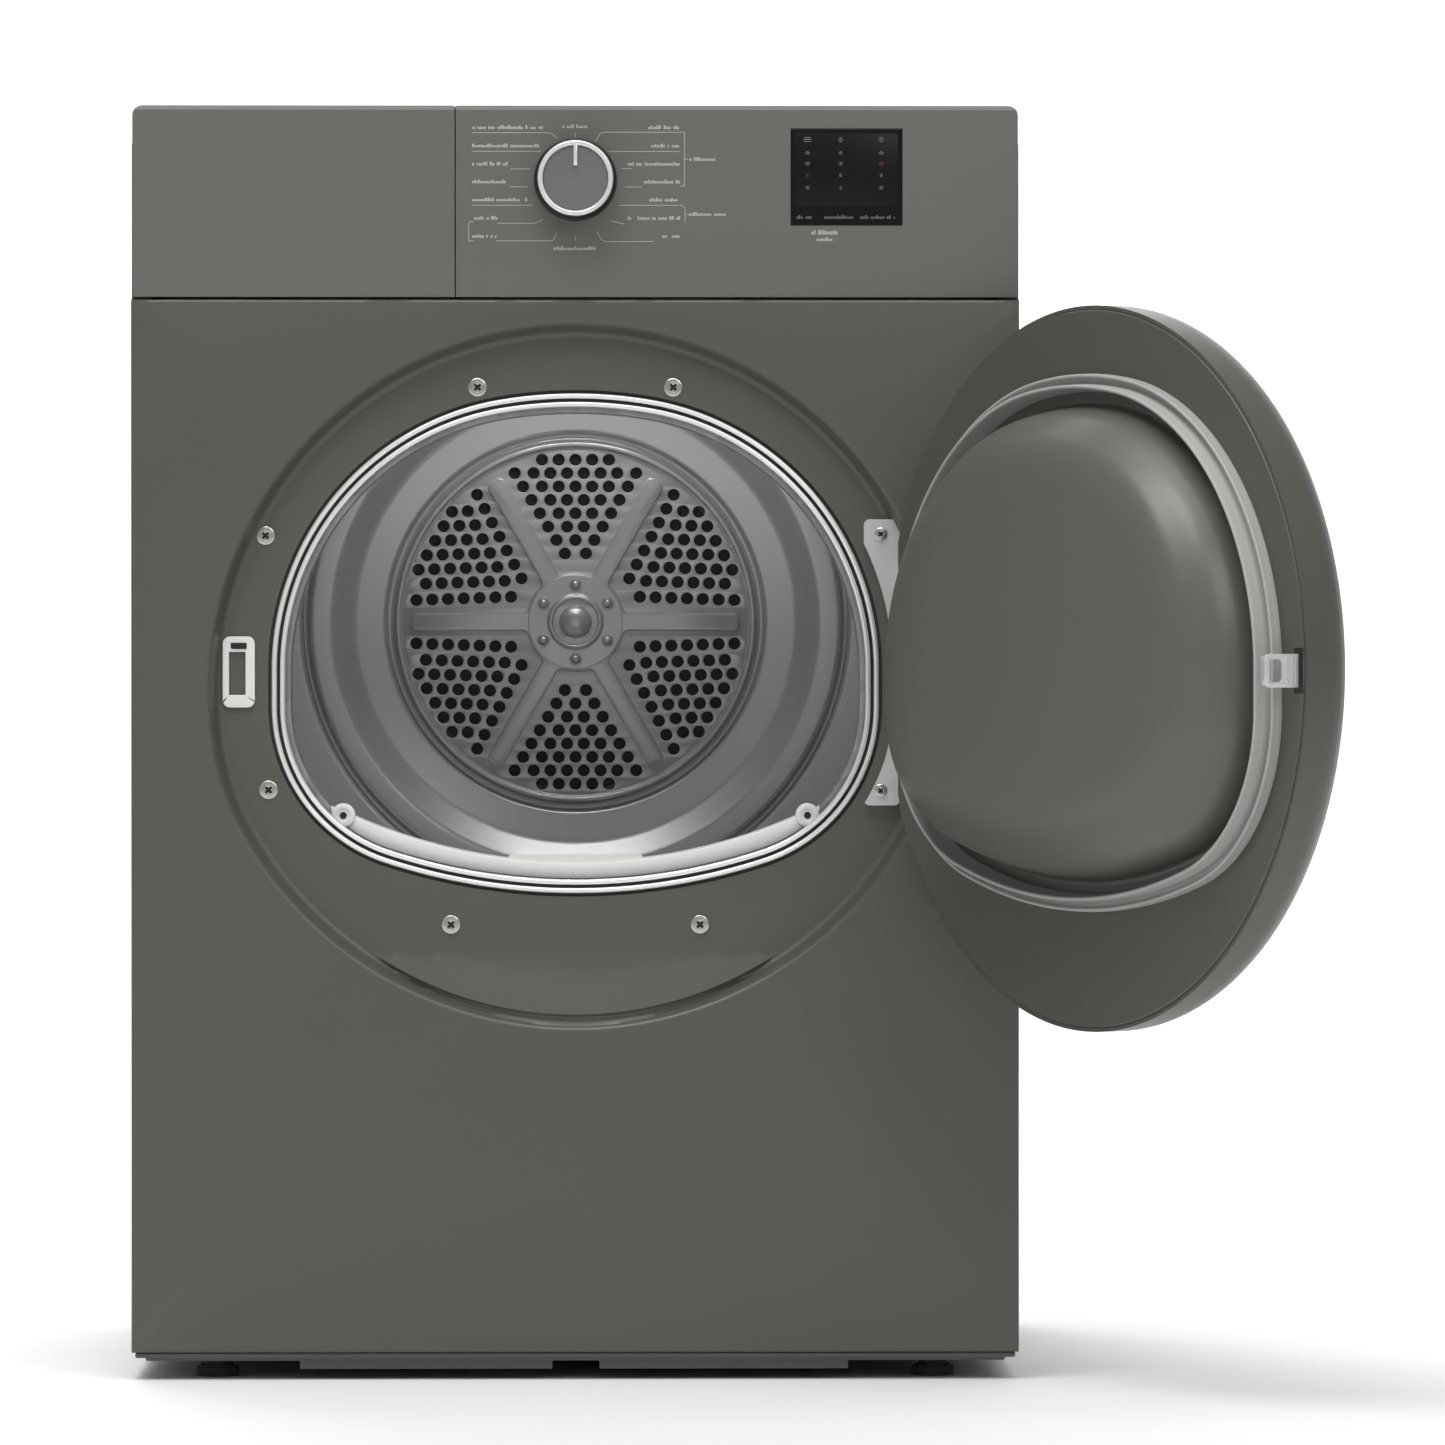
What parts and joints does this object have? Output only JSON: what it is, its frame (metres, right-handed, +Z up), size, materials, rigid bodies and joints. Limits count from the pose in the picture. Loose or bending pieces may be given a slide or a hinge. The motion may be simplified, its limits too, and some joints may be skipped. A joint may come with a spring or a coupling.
{
  "type": "clothes dryer",
  "caption": "Front-loading vented tumble dryer with a round side-hinged door standing open, a D-shaped loading mouth, a perforated steel drum and a dial control panel.",
  "frame": {"origin": "on the floor under the middle of the cabinet, half way between its sides", "axes": "+X to the right of someone facing the door, -Y out of the front, +Z up"},
  "size_m": [0.7848, 0.9729, 0.858],
  "materials": {
    "cabinet_paint": "fine satin grey-green powder paint",
    "fascia_plastic": "satin painted grey plastic",
    "door_plastic": "satin grey-green moulded plastic",
    "base_plastic": "dark grey fine-grained plastic",
    "foot_rubber": "matt black rubber",
    "worktop_laminate": "satin grey laminate",
    "galvanised": "galvanised sheet",
    "drum_steel": "rolled galvanised drum sheet",
    "bright_trim": "satin chrome-plated trim",
    "machined_steel": "turned steel",
    "screw_steel": "zinc-plated",
    "display_gloss": "smoked gloss",
    "circuit_board": "solder-masked board with parts",
    "switch_plastic": "natural nylon",
    "felt": "pressed wool felt",
    "bearing_bronze": "sintered bronze",
    "filter_white": "light grey moulded plastic",
    "duct_plastic": "grey moulded polypropylene",
    "lock_white": "white moulded plastic",
    "key_black": "black nylon",
    "hinge_metal": "painted light grey die casting",
    "motor_steel": "lacquered motor casing",
    "belt_rubber": "ribbed belt rubber",
    "gasket_rubber": "light grey seal rubber",
    "heater_steel": "heat-tinted sheathed element",
    "knob_plastic": "satin dark grey plastic",
    "wire_white": "sleeved wiring",
    "lamp_lens": "frosted lens",
    "paddle_plastic": "grey moulded plastic"
  },
  "bodies": {
    "cabinet": {"base_tray": "base_plastic", "levelling_feet": "foot_rubber", "left_side_panel": "cabinet_paint", "right_side_panel": "cabinet_paint", "back_panel": "galvanised", "rear_duct_cover": "galvanised", "worktop": "worktop_laminate", "front_panel": "cabinet_paint", "mouth_trim": "bright_trim", "control_fascia": "fascia_plastic", "blank_fascia": "fascia_plastic", "display_window": "display_gloss", "display_board": "circuit_board", "control_board": "circuit_board", "selector_switch": "switch_plastic", "crossbar": "galvanised", "front_bulkhead": "galvanised", "front_felt": "felt", "rear_felt": "felt", "bearing_bracket": "galvanised", "shaft_bush": "bearing_bronze", "roller_axles": "machined_steel", "filter_bezel": "filter_white", "filter_housing": "duct_plastic", "moisture_sensors": "machined_steel", "drum_lamp": "lamp_lens", "lock_strike": "lock_white", "hinge_plate": "hinge_metal", "hinge_pins": "machined_steel", "panel_screws": "screw_steel", "motor_housing": "motor_steel", "motor_bracket": "galvanised", "blower_housing": "duct_plastic", "exhaust_duct": "duct_plastic", "vent_collar": "duct_plastic", "heater_element": "heater_steel", "thermostats": "screw_steel", "cable_gland": "key_black", "wiring_harness": "wire_white", "drive_belt": "belt_rubber"},
    "door": {"door_cover": "door_plastic", "door_inner": "door_plastic", "door_gasket": "gasket_rubber", "door_hinge_leaf": "machined_steel", "latch_pin": "machined_steel"},
    "latch": {"latch_hook": "hinge_metal"},
    "drum": {"drum_shell": "drum_steel", "drum_back": "drum_steel", "drum_hub": "drum_steel", "drum_shaft": "machined_steel", "drum_lifters": "paddle_plastic"},
    "knob": {"knob": "knob_plastic", "knob_ring": "bright_trim"},
    "motor_rotor": {"motor_shaft": "machined_steel", "impeller": "duct_plastic"},
    "roller_left": {"support_roller_left": "belt_rubber"},
    "roller_right": {"support_roller_right": "belt_rubber"},
    "idler": {"idler_arm": "machined_steel"},
    "filter": {"lint_filter": "filter_white"},
    "lock_key": {"lock_key": "key_black"}
  },
  "joints": [
    {"name": "door_hinge", "type": "hinge", "parent": "cabinet", "child": "door", "pos_m": [0.2239, -0.289, 0.4795], "axis": [0, 0, 1], "range_deg": [-122.4, 1.6]},
    {"name": "latch_pivot", "type": "hinge", "parent": "door", "child": "latch", "pos_m": [0.46297, -0.67131, 0.477], "axis": [0, 0, 1], "range_deg": [0, 2.5], "stiffness_Nm_per_rad": 0.4},
    {"name": "drum_spin", "type": "hinge", "parent": "cabinet", "child": "drum", "pos_m": [0, 0.2, 0.5126], "axis": [0, 1, 0], "continuous": true},
    {"name": "knob_turn", "type": "hinge", "parent": "cabinet", "child": "knob", "pos_m": [0, -0.28, 0.808], "axis": [0, 1, 0], "continuous": true},
    {"name": "motor_spin", "type": "hinge", "parent": "cabinet", "child": "motor_rotor", "pos_m": [0.165, 0, 0.105], "axis": [0, 1, 0], "continuous": true},
    {"name": "roller_left_spin", "type": "hinge", "parent": "cabinet", "child": "roller_left", "pos_m": [-0.17913, -0.157, 0.25678], "axis": [0, 1, 0], "continuous": true},
    {"name": "roller_right_spin", "type": "hinge", "parent": "cabinet", "child": "roller_right", "pos_m": [0.17913, -0.157, 0.25678], "axis": [0, 1, 0], "continuous": true},
    {"name": "idler_pivot", "type": "hinge", "parent": "cabinet", "child": "idler", "pos_m": [0.262, 0.04, 0.11], "axis": [0, 1, 0], "range_deg": [0, 8], "stiffness_Nm_per_rad": 4},
    {"name": "filter_lift", "type": "slide", "parent": "cabinet", "child": "filter", "axis": [0, 0, 1], "range_m": [0, 0.15]},
    {"name": "lock_key_press", "type": "slide", "parent": "cabinet", "child": "lock_key", "axis": [0, 1, 0], "range_m": [0, 0.002], "stiffness_N_per_m": 150}
  ],
  "couplings": [
    {"joint": "motor_spin", "follows": "drum_spin", "ratio": 31.889},
    {"joint": "roller_left_spin", "follows": "drum_spin", "ratio": -11.48},
    {"joint": "roller_right_spin", "follows": "drum_spin", "ratio": -11.48}
  ]
}
